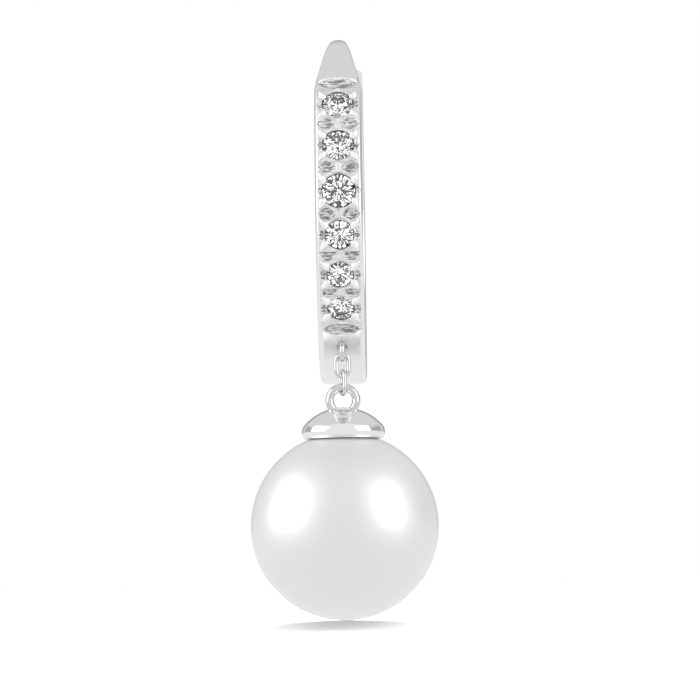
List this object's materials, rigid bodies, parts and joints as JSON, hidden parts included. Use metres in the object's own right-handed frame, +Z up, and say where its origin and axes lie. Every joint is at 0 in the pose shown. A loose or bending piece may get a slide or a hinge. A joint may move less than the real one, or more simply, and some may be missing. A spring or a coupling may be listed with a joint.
{
  "type": "pearl huggie earring",
  "caption": "Hinged huggie hoop earring with a row of small cut stones on the front, and a round pearl drop in a domed cap hanging from two fine links.",
  "frame": {"origin": "middle of the ear post's free length, on the post's axis, where the ear lobe hangs it", "axes": "+Z up, -Y out of the stone-set front (away from the wearer's lobe), +Y along the post towards the back half, X across the band"},
  "size_m": [0.008, 0.0159, 0.0254],
  "materials": {
    "white_gold": "polished",
    "cut_stone": "polished",
    "pearl": "gloss"
  },
  "bodies": {
    "hoop_front": {"front_half": "white_gold", "hinge_pin": "white_gold", "link_upper": "white_gold", "stone_1": "cut_stone", "stone_2": "cut_stone", "stone_3": "cut_stone", "stone_4": "cut_stone", "stone_5": "cut_stone", "stone_6": "cut_stone"},
    "hoop_back": {"back_half": "white_gold"},
    "drop_link": {"link_lower": "white_gold"},
    "pearl_drop": {"pearl_cap": "white_gold", "pearl": "pearl"}
  },
  "joints": [
    {"name": "back_hinge", "type": "hinge", "parent": "hoop_front", "child": "hoop_back", "pos_m": [0, 0.00159, -0.01275], "axis": [-1, 0, 0], "range_deg": [0, 55]},
    {"name": "drop_swing_fore_aft", "type": "hinge", "parent": "hoop_front", "child": "drop_link", "pos_m": [0, -0.00535, -0.01386], "axis": [1, 0, 0], "range_deg": [-60, 40]},
    {"name": "drop_swing_side", "type": "hinge", "parent": "drop_link", "child": "pearl_drop", "pos_m": [0, -0.00535, -0.01463], "axis": [0, 1, 0], "range_deg": [-45, 45]}
  ]
}
